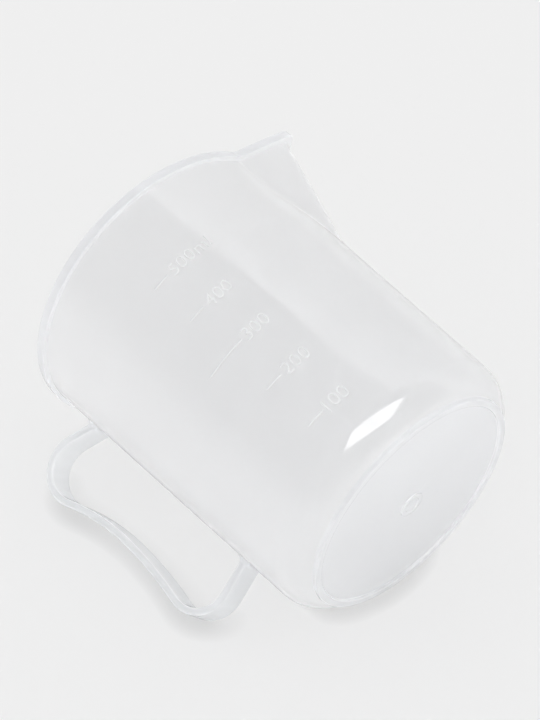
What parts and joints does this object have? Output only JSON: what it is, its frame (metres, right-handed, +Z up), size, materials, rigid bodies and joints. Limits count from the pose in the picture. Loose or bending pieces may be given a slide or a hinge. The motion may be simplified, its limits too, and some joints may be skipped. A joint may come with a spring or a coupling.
{
  "type": "resin mixing cup",
  "caption": "Translucent plastic mixing cup with a graduated side, a beak spout drawn out of the rim and an open strap handle; stands on a foot ring.",
  "frame": {"origin": "centre of the foot ring's plane, where the cup's axis meets the table", "axes": "+Z up the cup's axis to the mouth, +X towards the spout, the handle is at -X and the scale faces -Y"},
  "size_m": [0.134, 0.0974, 0.115],
  "materials": {
    "cup_plastic": "smooth moulded translucent polypropylene, satin",
    "handle_plastic": "smooth moulded translucent polypropylene, thicker section",
    "scale_plastic": "translucent polypropylene, raised lines"
  },
  "bodies": {
    "root": {"body_wall": "cup_plastic", "pouring_spout": "cup_plastic", "rim_bead": "cup_plastic", "bottom_corner": "cup_plastic", "floor_disc": "cup_plastic", "foot_ring": "cup_plastic", "gate_mark": "cup_plastic", "handle_strap": "handle_plastic", "handle_upper_root": "handle_plastic", "handle_lower_root": "handle_plastic", "scale_marks": "scale_plastic"}
  },
  "joints": []
}
